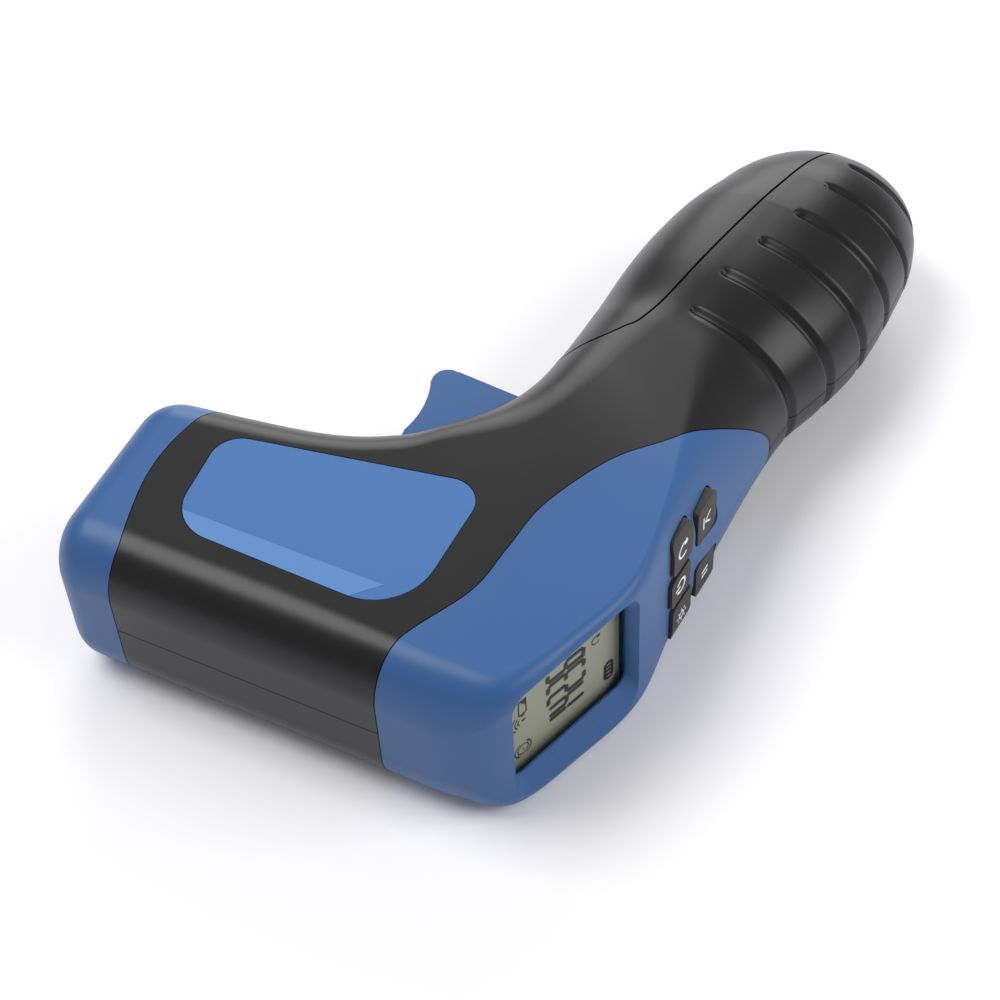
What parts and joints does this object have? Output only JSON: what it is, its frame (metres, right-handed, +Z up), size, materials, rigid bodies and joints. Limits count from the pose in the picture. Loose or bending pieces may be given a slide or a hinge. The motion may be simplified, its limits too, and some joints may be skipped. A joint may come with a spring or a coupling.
{
  "type": "laser tachometer",
  "caption": "Pistol-shaped hand-held laser tachometer with a rear display, soft keys, a trigger and a ribbed grip that holds the battery.",
  "frame": {"origin": "middle of the head's flat left side, on the table it lies on", "axes": "+X from the muzzle to the rear, +Y from the barrel's top to the butt, +Z up, towards the tool's right side"},
  "size_m": [0.111, 0.1598, 0.037],
  "materials": {
    "black_plastic": "satin moulded",
    "blue_plastic": "satin moulded",
    "label_film": "semi-gloss film",
    "key_rubber": "matte",
    "mat_rubber": "matte",
    "clear_window": "clear",
    "display_glass": "satin",
    "circuit_board": "lacquered",
    "bright_steel": "bright",
    "inner_plastic": "matte",
    "lens_glass": "polished",
    "laser_brass": "turned",
    "sensor_metal": "satin",
    "battery_case": "satin"
  },
  "bodies": {
    "body": {"right_housing": "black_plastic", "left_housing": "black_plastic", "front_bezel": "blue_plastic", "rear_panel": "blue_plastic", "door_pin": "bright_steel", "trigger_pin": "bright_steel", "trigger_spring": "bright_steel", "trigger_switch": "inner_plastic", "key_mat": "mat_rubber", "lcd_window": "clear_window", "lcd_glass": "display_glass", "display_board": "circuit_board", "main_board": "circuit_board", "board_screws": "bright_steel", "front_plate": "inner_plastic", "receiver_lens": "lens_glass", "optics_holder": "inner_plastic", "laser_module": "laser_brass", "photo_sensor": "sensor_metal", "side_label": "label_film", "battery": "battery_case", "battery_snap": "inner_plastic", "housing_screws": "bright_steel"},
    "trigger": {"trigger": "blue_plastic"},
    "battery_door": {"battery_door": "black_plastic"},
    "key_power": {"key_power": "key_rubber"},
    "key_upper_right": {"key_upper_right": "key_rubber"},
    "key_lower_right": {"key_lower_right": "key_rubber"},
    "key_upper_left": {"key_upper_left": "key_rubber"},
    "key_lower_left": {"key_lower_left": "key_rubber"}
  },
  "joints": [
    {"name": "trigger_pull", "type": "hinge", "parent": "body", "child": "trigger", "pos_m": [0.007, 0.02, 0.0185], "axis": [0, 0, -1], "range_deg": [0, 8], "stiffness_Nm_per_rad": 0.5, "springref_deg": -2.86, "deforming": ["trigger_spring"]},
    {"name": "battery_door_swing", "type": "hinge", "parent": "body", "child": "battery_door", "pos_m": [0.04833, 0.13315, 0.0185], "axis": [0, 0, -1], "range_deg": [0, 75]},
    {"name": "key_power_press", "type": "slide", "parent": "body", "child": "key_power", "axis": [-0.9986, 0.0523, 0], "range_m": [0, 0.0008], "stiffness_N_per_m": 1200},
    {"name": "key_upper_right_press", "type": "slide", "parent": "body", "child": "key_upper_right", "axis": [-0.9986, 0.0523, 0], "range_m": [0, 0.0008], "stiffness_N_per_m": 1200},
    {"name": "key_lower_right_press", "type": "slide", "parent": "body", "child": "key_lower_right", "axis": [-0.9986, 0.0523, 0], "range_m": [0, 0.0008], "stiffness_N_per_m": 1200},
    {"name": "key_upper_left_press", "type": "slide", "parent": "body", "child": "key_upper_left", "axis": [-0.9986, 0.0523, 0], "range_m": [0, 0.0008], "stiffness_N_per_m": 1200},
    {"name": "key_lower_left_press", "type": "slide", "parent": "body", "child": "key_lower_left", "axis": [-0.9986, 0.0523, 0], "range_m": [0, 0.0008], "stiffness_N_per_m": 1200}
  ]
}
